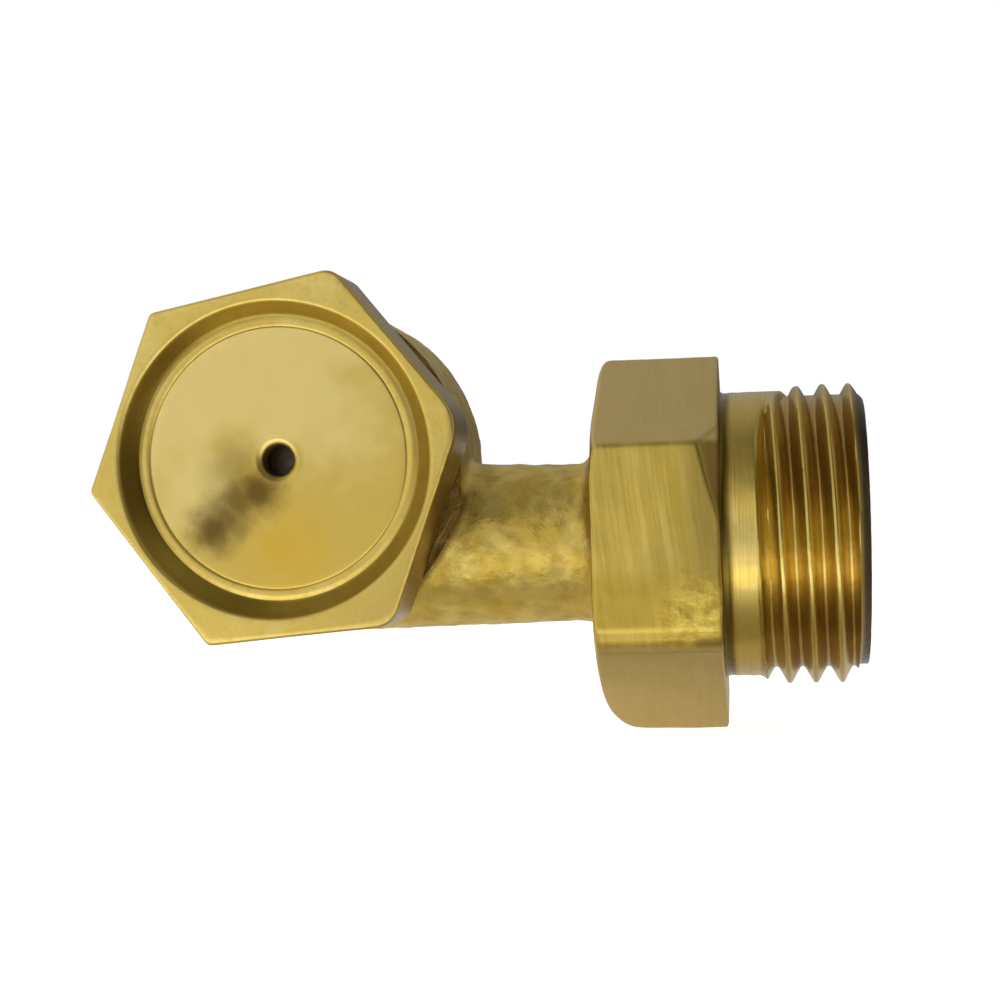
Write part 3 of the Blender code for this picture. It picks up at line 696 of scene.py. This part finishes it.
class Look:
    """A material under construction. Its coordinates are millimetres from the origin given."""

    def __init__(self, name, origin=(0, 0, 0)):
        self.material = bpy.data.materials.new(name)
        self.material.use_nodes = True
        self.tree = self.material.node_tree
        self.shader = self.tree.nodes["Principled BSDF"]
        self.shader.inputs["Metallic"].default_value = 1.0
        coordinates = self.tree.nodes.new("ShaderNodeTexCoord").outputs
        place = coordinates["Object"]
        self.normal = coordinates["Normal"]
        mapping = self.add("ShaderNodeMapping")
        mapping.inputs["Scale"].default_value = (1 / MM,) * 3
        mapping.inputs["Location"].default_value = [-c for c in origin]
        self.link(place, mapping.inputs["Vector"])
        self.place = mapping.outputs["Vector"]

    def add(self, kind):
        return self.tree.nodes.new(kind)

    def link(self, source, target):
        self.tree.links.new(source, target)

    def feed(self, target, value):
        """Sets a socket to a plain value, or links it to another socket."""
        if isinstance(value, bpy.types.NodeSocket):
            self.link(value, target)
        else:
            target.default_value = value

    def math(self, operation, a, b=0.0, clamp=False):
        node = self.add("ShaderNodeMath")
        node.operation = operation
        node.use_clamp = clamp
        self.feed(node.inputs[0], a)
        self.feed(node.inputs[1], b)
        return node.outputs[0]

    def times(self, a, b):
        return self.math("MULTIPLY", a, b)

    def plus(self, a, b):
        return self.math("ADD", a, b)

    def vector(self, operation, a, b=(0, 0, 0)):
        node = self.add("ShaderNodeVectorMath")
        node.operation = operation
        self.feed(node.inputs[0], a)
        self.feed(node.inputs[1], b)
        single = operation in ("LENGTH", "DISTANCE", "DOT_PRODUCT")
        return node.outputs["Value" if single else "Vector"]

    def parts(self, vector):
        node = self.add("ShaderNodeSeparateXYZ")
        self.link(vector, node.inputs[0])
        return node.outputs[0], node.outputs[1], node.outputs[2]

    def join(self, x, y, z):
        node = self.add("ShaderNodeCombineXYZ")
        for socket, value in zip(node.inputs, (x, y, z)):
            self.feed(socket, value)
        return node.outputs[0]

    def noise(self, scale, detail, roughness, at=None):
        node = self.add("ShaderNodeTexNoise")
        for key, number in (("Scale", scale), ("Detail", detail), ("Roughness", roughness)):
            node.inputs[key].default_value = number
        self.link(at or self.place, node.inputs["Vector"])
        return node.outputs["Fac"]

    def spread(self, value, low, high, out_low=0.0, out_high=1.0):
        """A smooth step of value from low to high, mapped to the two outputs."""
        return mapped(self.tree, value, low, high, out_low, out_high)

    def mix(self, share, a, b):
        node = self.add("ShaderNodeMix")
        node.data_type = "RGBA"
        self.feed(node.inputs["Factor"], share)
        for socket, value in ((node.inputs[6], a), (node.inputs[7], b)):
            self.feed(socket, value if isinstance(value, bpy.types.NodeSocket) else (*value, 1))
        return node.outputs[2]

    def bump(self, height, depth, strength, onto=None):
        node = self.add("ShaderNodeBump")
        node.inputs["Strength"].default_value = strength
        node.inputs["Distance"].default_value = depth * MM
        self.link(height, node.inputs["Height"])
        if onto:
            self.link(onto, node.inputs["Normal"])
        return node.outputs["Normal"]

    def finish(self, colour, roughness, normal, film=None):
        """Film is where dirt or old oil covers the metal, with painted shade as well in the cap's
        recess, from 0 for bare to 1 for covered.
        """
        self.link(colour, self.shader.inputs["Base Color"])
        self.link(roughness, self.shader.inputs["Roughness"])
        self.link(normal, self.shader.inputs["Normal"])
        if film:
            self.link(self.math("SUBTRACT", 1.0, film, clamp=True), self.shader.inputs["Metallic"])
        return self.material


PALE = (0.72, 0.56, 0.18)
BRASS = (0.64, 0.47, 0.11)
GOLDEN = (0.60, 0.40, 0.06)
DULL = (0.38, 0.28, 0.09)
BROWN = (0.20, 0.115, 0.03)
SOOT = (0.07, 0.032, 0.014)
CAST_PATCHES = ((0.58, 0.41, 0.075), (0.66, 0.50, 0.13))
FILED_STROKES = ((0.51, 0.36, 0.065), (0.63, 0.47, 0.115))
UNFILED_PATCH = ((0.44, 0.30, 0.05), (0.66, 0.49, 0.10))
UNFILED_CENTRE = (-1.4, 0.0, -4.9)
FILED_LOW = (0.42, 0.285, 0.035)
FILED_AT_SHOULDER = (0.32, 0.225, 0.05)
SLOPING_FLATS = (0.59, 0.44, 0.155)
TURNED_PATCHES = ((0.64, 0.47, 0.11), (0.68, 0.52, 0.17))
SHADED_AWAY_FROM_BAND = (0.52, 0.36, 0.075)
THREAD_OIL_AND_SHADE = (0.35, 0.205, 0.055)
GROOVE_OIL = (0.22, 0.15, 0.012)
NECK_CORNER_SHADE = (0.11, 0.07, 0.008)
END_CHAMFER_SHADE = (0.05, 0.032, 0.008)
CAP_SHADE_LOW_RIGHT = (0.40, 0.28, 0.08)
RECESS_OIL_AND_SHADE = (0.29, 0.2, 0.025)
RECESS_LEFT_SHADE = (0.13, 0.075, 0.008)
LEFT_SHADE_AIM = (-0.966, 0.0, 0.259)
DISC_PATCHES = ((0.60, 0.43, 0.095), (0.73, 0.57, 0.2))
DISC_GOLD = (0.62, 0.395, 0.045)
BURNT_OIL = (0.12, 0.068, 0.008)
WIRE_PATCHES = ((0.5, 0.28, 0.11), (0.6, 0.38, 0.17))
WIRE_DIRT = (0.13, 0.07, 0.03)
COPPER_PATCHES = ((0.55, 0.23, 0.11), (0.72, 0.36, 0.2))
COPPER_DIRT = (0.16, 0.07, 0.04)
CAP_CENTRE = (CAP_X, 0, CAP_Z)


def cast_brass_look():
    """Sand-cast brass: soft mottles of pale and golden metal over a finely grained skin."""
    look = Look("cast_brass_rough")
    patches = look.noise(0.4, 2, 0.5)
    mottle = look.noise(0.75, 3, 0.5)
    lumps = look.noise(1.1, 1.5, 0.5)
    grain = look.noise(5.0, 2, 0.5)
    colour = look.mix(look.spread(patches, 0.35, 0.65), *CAST_PATCHES)
    colour = look.mix(look.spread(mottle, 0.5, 0.72, 0.0, 0.35), colour, DULL)
    colour = look.mix(look.spread(lumps, 0.58, 0.75, 0.0, 0.15), colour, BROWN)
    x, y, z = look.parts(look.place)
    # Painted shade: the cast body is painted brown round the spot face, in the gap under the cap.
    from_cap = look.vector("DISTANCE", look.join(x, 0.0, z), CAP_CENTRE)
    painted_shade_under_cap = look.times(look.spread(from_cap, 12.6, 12.1), look.spread(y, -4.2, -4.8))
    colour = look.mix(look.times(painted_shade_under_cap, 0.85), colour, BROWN)
    roughness = look.spread(mottle, 0.3, 0.7, 0.4, 0.54)
    normal = look.bump(grain, 0.05, 0.6, look.bump(lumps, 0.13, 0.6))
    return look.finish(colour, roughness, normal)


def filed_brass_look():
    """The collar: filed in long upright strokes in front, with a patch that the file never reached
    low on the right, and with brown painted shade on the shoulder's chamfer."""
    look = Look("filed_brass")
    x, y, z = look.parts(look.place)
    lean = look.times(look.math("SINE", look.times(z, 0.25)), 0.35)
    across = look.plus(look.plus(x, look.times(z, 0.05)), lean)

    def strokes_at(scale, detail):
        place = look.join(look.times(across, scale), look.times(y, 0.3), look.times(z, 0.12))
        return look.noise(1.0, detail, 0.6, place)

    broad = strokes_at(1.5, 2)
    fine = strokes_at(4.5, 4)
    strokes = look.plus(look.times(broad, 0.55), look.times(fine, 0.45))
    blotch = look.noise(0.3, 3, 0.55)
    mottle = look.noise(1.2, 3, 0.5)
    grain = look.noise(4.0, 2, 0.5)
    from_patch = look.vector("DISTANCE", look.join(x, 0.0, z), UNFILED_CENTRE)
    from_patch = look.plus(from_patch, look.times(look.math("SUBTRACT", mottle, 0.5), 2.5))
    left_face = look.spread(look.parts(look.normal)[0], -0.6, -0.85)
    unfiled = look.math("MAXIMUM", look.spread(from_patch, 3.8, 1.2), left_face)
    colour = look.mix(look.spread(strokes, 0.36, 0.64), *FILED_STROKES)
    colour = look.mix(look.spread(blotch, 0.42, 0.7, 0.0, 0.3), colour, DULL)
    golden = look.times(look.spread(z, -1.0, -3.6), look.spread(z, -6.1, -5.5, 0.1, 0.65))
    colour = look.mix(golden, colour, FILED_LOW)
    near_shoulder = look.times(look.spread(x, -3.4, -0.8), 0.8)
    colour = look.mix(near_shoulder, colour, FILED_AT_SHOULDER)
    patch_colour = look.mix(look.spread(mottle, 0.35, 0.62), *UNFILED_PATCH)
    colour = look.mix(look.times(unfiled, 0.85), colour, patch_colour)
    sloping = look.spread(look.math("ABSOLUTE", look.plus(z, COLLAR_DROP)), 6.5, 7.0)
    colour = look.mix(look.times(sloping, 0.9), colour, SLOPING_FLATS)
    # Painted shade: the shoulder's chamfer, beyond the front flat, is painted brown.
    beyond_flat = look.spread(y, -COLLAR_FLAT + 0.12, -COLLAR_FLAT + 0.3)
    painted_chamfer_shade = look.times(beyond_flat, look.math("SUBTRACT", 1.0, sloping))
    painted_chamfer_shade = look.times(painted_chamfer_shade, look.spread(x, -2.0, -1.6))
    colour = look.mix(look.times(painted_chamfer_shade, 0.5), colour, BROWN)
    roughness = look.spread(strokes, 0.3, 0.7, 0.34, 0.48)
    skin = look.times(grain, look.spread(unfiled, 0, 1, 0.08, 0.4))
    skin = look.plus(skin, look.times(mottle, look.spread(unfiled, 0, 1, 0.1, 1.0)))
    normal = look.bump(strokes, 0.07, 0.5, look.bump(skin, 0.16, 0.5))
    return look.finish(colour, roughness, normal)


def turned_brass_look():
    """The spigot: lathe marks round the axis, a painted band of light across the middle with
    painted shade above and below it, brown in the thread's roots that is heavier away from the band
    as painted shade, and dark painted shade in the neck's corner and on the end's chamfer."""
    look = Look("turned_brass_thread")
    x, y, z = look.parts(look.place)
    radius = look.vector("LENGTH", look.join(0.0, y, z))
    marks_place = look.join(look.times(x, 7.0), look.times(y, 0.13), look.times(z, 0.13))
    marks = look.noise(1.0, 4, 0.65, marks_place)
    blotch = look.noise(0.45, 4, 0.6)
    in_thread = look.spread(x, 3.2, 4.2, 0.35, 1.0)
    in_thread = look.times(in_thread, look.spread(x, 2.4, 2.7))
    root = look.spread(radius, 9.5, 10.35, 1.0, 0.0)
    oil_and_shade = look.times(in_thread, look.spread(root, 0, 1, 0.4, 0.95))
    oil_and_shade = look.times(oil_and_shade, look.spread(blotch, 0.25, 0.6, 0.75, 1.0))
    # Painted light: a band of light is painted across the middle. Above and below it the brass is
    # painted darker, and the roots' oil brown is painted heavier, as shade.
    from_light_band = look.math("ABSOLUTE", look.plus(z, 1.2))
    oil_and_shade = look.times(oil_and_shade, look.spread(from_light_band, 1.0, 5.0, 0.3, 1.0))
    colour = look.mix(look.spread(blotch, 0.35, 0.65), *TURNED_PATCHES)
    colour = look.mix(look.spread(from_light_band, 1.5, 4.5, 0.0, 0.75), colour, SHADED_AWAY_FROM_BAND)
    colour = look.mix(look.spread(marks, 0.45, 0.8, 0.0, 0.4), colour, DULL)
    # Brown of old oil in the roots, partly painted shade away from the band.
    colour = look.mix(look.times(oil_and_shade, 0.8), colour, THREAD_OIL_AND_SHADE)
    first_groove = look.spread(look.math("ABSOLUTE", look.math("SUBTRACT", x, 2.65)), 0.4, 0.1)
    first_groove = look.times(first_groove, look.spread(z, 6.5, 4.0))
    colour = look.mix(look.times(first_groove, 0.6), colour, GROOVE_OIL)
    outside = look.spread(radius, 8.7, 9.0)
    # Painted shade: the neck's corner next to the shoulder is painted dark brown.
    corner = look.times(look.spread(x, 0.95, 0.4), outside)
    # Painted shade: the end's chamfer is painted nearly black.
    end = look.times(look.spread(x, SPIGOT_END - 0.95, SPIGOT_END - 0.4), outside)
    colour = look.mix(look.times(corner, 0.92), colour, NECK_CORNER_SHADE)
    colour = look.mix(look.times(end, 0.93), colour, END_CHAMFER_SHADE)
    roughness = look.plus(look.spread(marks, 0.2, 0.8, 0.2, 0.34), look.times(oil_and_shade, 0.04))
    normal = look.bump(marks, 0.03, 0.5)
    return look.finish(colour, roughness, normal)


def cap_brass_look():
    """The cap: satin faces with painted shade to the lower right and on the hexagon's sides, and a
    recess wall brown with old oil and painted shade, darkest on the left.
    """
    look = Look("cap_brass", CAP_CENTRE)
    x, y, z = look.parts(look.place)
    radius = look.vector("LENGTH", look.join(x, 0.0, z))
    rings_place = look.join(look.times(radius, 8.0), look.times(y, 8.0), 0.0)
    marks = look.noise(1.0, 4, 0.7, rings_place)
    blotch = look.noise(0.28, 4, 0.6)
    grain = look.noise(2.4, 4, 0.6)
    colour = look.mix(look.spread(blotch, 0.45, 0.8), BRASS, PALE)
    colour = look.mix(look.spread(grain, 0.5, 0.8, 0.0, 0.35), colour, DULL)
    # Painted shade: the cap's face is painted darker towards the lower right.
    painted_shade_low_right = look.spread(look.math("SUBTRACT", x, z), 8.0, 20.0, 0.0, 0.5)
    colour = look.mix(painted_shade_low_right, colour, CAP_SHADE_LOW_RIGHT)
    # Painted shade: the hexagon's side faces, picked by the way they face, are painted brown.
    facing = look.math("ABSOLUTE", look.parts(look.normal)[1])
    sides = look.times(look.spread(facing, 0.45, 0.15), look.spread(radius, 10.8, 11.0))
    colour = look.mix(look.times(sides, 0.65), colour, BROWN)
    wall_radius = look.vector("DISTANCE", look.join(x, 0.0, z), (0.0, 0.0, LIP_RAISED))
    in_recess = look.spread(wall_radius, 9.55, 9.66)
    in_recess = look.times(in_recess, look.spread(radius, 10.72, 10.5))
    in_recess = look.times(in_recess, look.spread(y, -CAP_FACE + 0.02, -CAP_FACE + 0.15))
    # Brown of old oil and painted shade over the recess wall, which also makes it a little less
    # metallic.
    film = look.times(in_recess, look.spread(blotch, 0.3, 0.65, 0.75, 0.95))
    colour = look.mix(film, colour, RECESS_OIL_AND_SHADE)
    # Painted shade: the recess wall is painted darkest on its left side.
    outward = look.vector("NORMALIZE", look.join(x, 0.0, z))
    toward = look.vector("DOT_PRODUCT", outward, LEFT_SHADE_AIM)
    painted_left_shade = look.times(in_recess, look.spread(toward, 0.56, 0.9))
    colour = look.mix(look.times(painted_left_shade, 0.88), colour, RECESS_LEFT_SHADE)
    roughness = look.spread(look.plus(marks, look.times(grain, 0.6)), 0.4, 1.2, 0.24, 0.46)
    normal = look.bump(marks, 0.02, 0.4, look.bump(grain, 0.03, 0.3))
    return look.finish(colour, roughness, normal, look.times(film, 0.1))


def plate_brass_look():
    """The spray disc: pale above and golden below, finely turned, with a smear of burnt oil."""
    look = Look("plate_brass", CAP_CENTRE)
    x, _, z = look.parts(look.place)
    flat_place = look.join(x, 0.0, z)
    radius = look.vector("LENGTH", flat_place)
    marks = look.noise(1.0, 3, 0.6, look.join(look.times(radius, 9.0), 0.0, 0.0))
    blotch = look.noise(0.22, 3, 0.5)
    wisps = look.noise(0.75, 4, 0.6)
    slope = look.plus(look.times(z, 0.034), look.times(x, -0.022))
    tint = look.plus(look.plus(blotch, slope), look.times(marks, 0.12))
    colour = look.mix(look.spread(tint, 0.35, 0.75), *DISC_PATCHES)

    def blob(cx, cz, reach):
        """A soft patch about a point of the disc, 1 at its middle."""
        distance = look.vector("DISTANCE", flat_place, (cx, 0.0, cz))
        distance = look.plus(distance, look.times(look.math("SUBTRACT", wisps, 0.5), 1.8))
        return look.spread(distance, reach * 0.1, reach * 1.3, 1.0, 0.0)

    gold = blob(0.6, -6.2, 3.6)
    colour = look.mix(look.times(gold, 0.8), colour, DISC_GOLD)
    haze = look.times(blob(-2.9, -0.8, 2.6), 0.45)
    trail = look.math("MAXIMUM", blob(-2.9, -2.8, 2.2), blob(-3.7, -3.8, 2.2))
    trail = look.times(trail, 0.9)
    smear = look.math("MAXIMUM", blob(-1.4, -2.0, 2.1), blob(-4.5, -4.5, 2.2))
    smear = look.math("MAXIMUM", smear, look.math("MAXIMUM", haze, trail))
    colour = look.mix(look.times(smear, 0.92), colour, BURNT_OIL)
    hole = look.spread(radius, 1.13, 1.07)
    colour = look.mix(look.times(hole, 0.95), colour, SOOT)
    roughness = look.plus(look.spread(wisps, 0.3, 0.7, 0.3, 0.4), look.times(smear, 0.2))
    normal = look.bump(marks, 0.012, 0.4, look.bump(wisps, 0.03, 0.25))
    film = look.math("MAXIMUM", look.times(smear, 0.12), look.times(hole, 0.8))
    return look.finish(colour, roughness, normal, film)


def inner_brass_look(name, origin=(0, 0, 0), sooted=0.0):
    """Turned brass of the inner pieces, filmed with oil. Sooted is the radius of the black patch
    round the origin's axis, if there is one."""
    look = Look(name, origin)
    grain = look.noise(2.0, 4, 0.6)
    blotch = look.noise(0.5, 3, 0.5)
    colour = look.mix(look.spread(blotch, 0.35, 0.65), GOLDEN, BRASS)
    colour = look.mix(look.spread(grain, 0.5, 0.8, 0.0, 0.5), colour, BROWN)
    roughness = look.spread(grain, 0.3, 0.7, 0.22, 0.42)
    normal = look.bump(grain, 0.03, 0.4)
    if not sooted:
        return look.finish(colour, roughness, normal)
    x, _, z = look.parts(look.place)
    radius = look.vector("LENGTH", look.join(x, 0.0, z))
    soot = look.spread(radius, sooted - 0.4, sooted + 0.6, 0.95, 0.0)
    return look.finish(look.mix(soot, colour, SOOT), roughness, normal, look.times(soot, 0.8))


def bronze_wire_look():
    look = Look("bronze_wire")
    grain = look.noise(3.0, 4, 0.6)
    blotch = look.noise(0.35, 3, 0.5)
    colour = look.mix(look.spread(blotch, 0.35, 0.65), *WIRE_PATCHES)
    colour = look.mix(look.spread(grain, 0.5, 0.8, 0.0, 0.6), colour, WIRE_DIRT)
    roughness = look.spread(grain, 0.3, 0.7, 0.28, 0.5)
    return look.finish(colour, roughness, look.bump(grain, 0.02, 0.4))


def copper_look():
    look = Look("copper_washer")
    grain = look.noise(2.4, 4, 0.6)
    blotch = look.noise(0.4, 3, 0.5)
    colour = look.mix(look.spread(blotch, 0.35, 0.65), *COPPER_PATCHES)
    colour = look.mix(look.spread(grain, 0.5, 0.85, 0.0, 0.6), colour, COPPER_DIRT)
    roughness = look.spread(grain, 0.3, 0.7, 0.3, 0.5)
    return look.finish(colour, roughness, look.bump(grain, 0.04, 0.5))


# -------- studio

FLOOR_REACH_M = 0.6
FLOOR_GAP_M = 0.0002
FLOOR_SEEN = 0.85
FLOOR_GLOW_DEPTH_M = 0.1
# The floor's glow on the part, as (share of the depth in front of it, brightness).
FLOOR_GLOW = (
    (0.0, 0.23), (0.045, 0.2), (0.075, 0.07), (0.105, 0.06), (0.15, 0.15), (0.2, 0.42),
    (0.26, 0.85), (0.34, 0.62), (0.55, 0.36), (1.0, 0.21),
)
# Soft lobes of light, as (aim, cosine where it starts, cosine where it is full, strength). The
# first is full in every direction.
LIGHT_LOBES = (
    ((0.0, 0.0, 1.0), -1.2, -1.1, 0.12),
    ((-1.0, -0.35, 0.15), 0.0, 0.9, 0.75),
    ((-0.15, -1.0, 0.05), 0.6, 1.0, 0.3),
    ((-0.05, -0.93, 0.37), 0.965, 0.998, 0.4),
    ((0.6, -0.1, 0.79), 0.85, 1.0, 0.35),
    ((1.0, 0.1, 0.3), 0.9, 1.0, 0.6),
    ((-0.1, 0.65, 0.75), 0.6, 1.0, 0.4),
)
CAMERA_PLACE_M = (0.0030675, -0.1418859, 0.0011752)
CAMERA_TURN_DEG = (90.7203, 1.5399, 7.6394)
CAMERA_LENS_MM = 71.64


def add_floor():
    """A white floor to the camera, which lights the part unevenly from in front."""
    level = CAD_BOX[0].z - FLOOR_GAP_M
    vertices = [(FLOOR_REACH_M * cos(t), FLOOR_REACH_M * sin(t), level) for t in angles(96)]
    mesh = bpy.data.meshes.new("floor")
    mesh.from_pydata(vertices, [], [list(range(len(vertices)))])
    material = bpy.data.materials.new("studio_floor")
    material.use_nodes = True
    tree = material.node_tree
    new, link = tree.nodes.new, tree.links.new
    shader = tree.nodes["Principled BSDF"]
    shader.inputs["Base Color"].default_value = (0.8, 0.8, 0.8, 1)
    shader.inputs["Roughness"].default_value = 0.9
    shader.inputs["Emission Color"].default_value = (1, 1, 1, 1)
    place = new("ShaderNodeTexCoord").outputs["Object"]
    depth = new("ShaderNodeSeparateXYZ")
    link(place, depth.inputs[0])
    table = new("ShaderNodeFloatCurve")
    share = mapped(tree, depth.outputs["Y"], 0.0, -FLOOR_GLOW_DEPTH_M, kind="LINEAR")
    link(share, table.inputs["Value"])
    curve = table.mapping.curves[0]
    for x, y in FLOOR_GLOW[1:-1]:
        curve.points.new(x, y)
    curve.points[0].location = FLOOR_GLOW[0]
    curve.points[-1].location = FLOOR_GLOW[-1]
    fade = mapped(tree, depth.outputs["X"], 0.012, 0.045, 1.9, 0.15)
    glow = new("ShaderNodeMath")
    glow.operation = "MULTIPLY"
    link(table.outputs["Value"], glow.inputs[0])
    link(fade, glow.inputs[1])
    choose = new("ShaderNodeMix")
    seen = new("ShaderNodeLightPath").outputs["Is Camera Ray"]
    link(seen, choose.inputs["Factor"])
    link(glow.outputs[0], choose.inputs["A"])
    choose.inputs["B"].default_value = FLOOR_SEEN
    link(choose.outputs["Result"], shader.inputs["Emission Strength"])
    mesh.materials.append(material)
    floor = bpy.data.objects.new("floor", mesh)
    bpy.context.scene.collection.objects.link(floor)


def add_studio_light():
    """A white room seen by the camera, and soft lobes of light for everything else."""
    world = bpy.data.worlds.new("studio")
    world.use_nodes = True
    tree = world.node_tree
    new, link = tree.nodes.new, tree.links.new
    tree.nodes.clear()
    direction = new("ShaderNodeTexCoord").outputs["Generated"]
    total = None
    for aim, dark_cosine, full_cosine, strength in LIGHT_LOBES:
        dot = new("ShaderNodeVectorMath")
        dot.operation = "DOT_PRODUCT"
        link(direction, dot.inputs[0])
        dot.inputs[1].default_value = Vector(aim).normalized()
        lobe = mapped(tree, dot.outputs["Value"], dark_cosine, full_cosine, 0.0, strength)
        if total is None:
            total = lobe
        else:
            add = new("ShaderNodeMath")
            link(total, add.inputs[0])
            link(lobe, add.inputs[1])
            total = add.outputs[0]
    choose = new("ShaderNodeMixShader")
    link(new("ShaderNodeLightPath").outputs["Is Camera Ray"], choose.inputs["Fac"])
    for socket, strength in ((choose.inputs[1], total), (choose.inputs[2], None)):
        room = new("ShaderNodeBackground")
        room.inputs["Color"].default_value = (1, 1, 1, 1)
        if strength:
            link(strength, room.inputs["Strength"])
        link(room.outputs[0], socket)
    output = new("ShaderNodeOutputWorld")
    link(choose.outputs[0], output.inputs["Surface"])
    bpy.context.scene.world = world


def add_camera():
    data = bpy.data.cameras.new("camera")
    data.sensor_width = 36
    data.lens = CAMERA_LENS_MM
    data.clip_start = 0.01
    camera = bpy.data.objects.new("camera", data)
    camera.location = CAMERA_PLACE_M
    camera.rotation_euler = [radians(a) for a in CAMERA_TURN_DEG]
    bpy.context.scene.collection.objects.link(camera)
    bpy.context.scene.camera = camera


INNER_BRASS = inner_brass_look("inner_brass")
SOOTY_BRASS = inner_brass_look("sooty_brass", CAP_CENTRE, 2.4)

add_piece("casting", casting_mesh(), cast_brass_look(), "elbow", ["elbow_body"])
add_piece("collar", collar_mesh(), filed_brass_look(), "elbow", ["elbow_body"])
add_piece("spigot", spigot_mesh(), turned_brass_look(), "elbow", ["elbow_body"])
add_piece("cap_shell", cap_mesh(), cap_brass_look(), "cap_turn", ["cap"])
add_piece("plate", plate_mesh(), plate_brass_look(),
          "cap_turn", ["orifice_plate"])
add_piece("swirl_disc", distributor_mesh(), SOOTY_BRASS,
          "cap_turn", ["distributor"])
add_piece("hollow_screw", lock_screw_mesh(), INNER_BRASS,
          "cap_turn", ["lock_screw"])
add_piece("washer", washer_mesh(), copper_look(), "cap_lift", ["cap_washer"])
add_piece("strainer_ring", strainer_collar_mesh(), INNER_BRASS,
          "strainer", ["strainer_collar"])
add_piece("strainer_cup", strainer_cup_mesh(), INNER_BRASS,
          "strainer", ["strainer_end_cap"])
add_piece("gauze", gauze_mesh(), bronze_wire_look(),
          "strainer", ["strainer_gauze"], sharp_angle=80)

add_floor()
add_studio_light()
add_camera()
bpy.context.scene.view_settings.view_transform = "Standard"
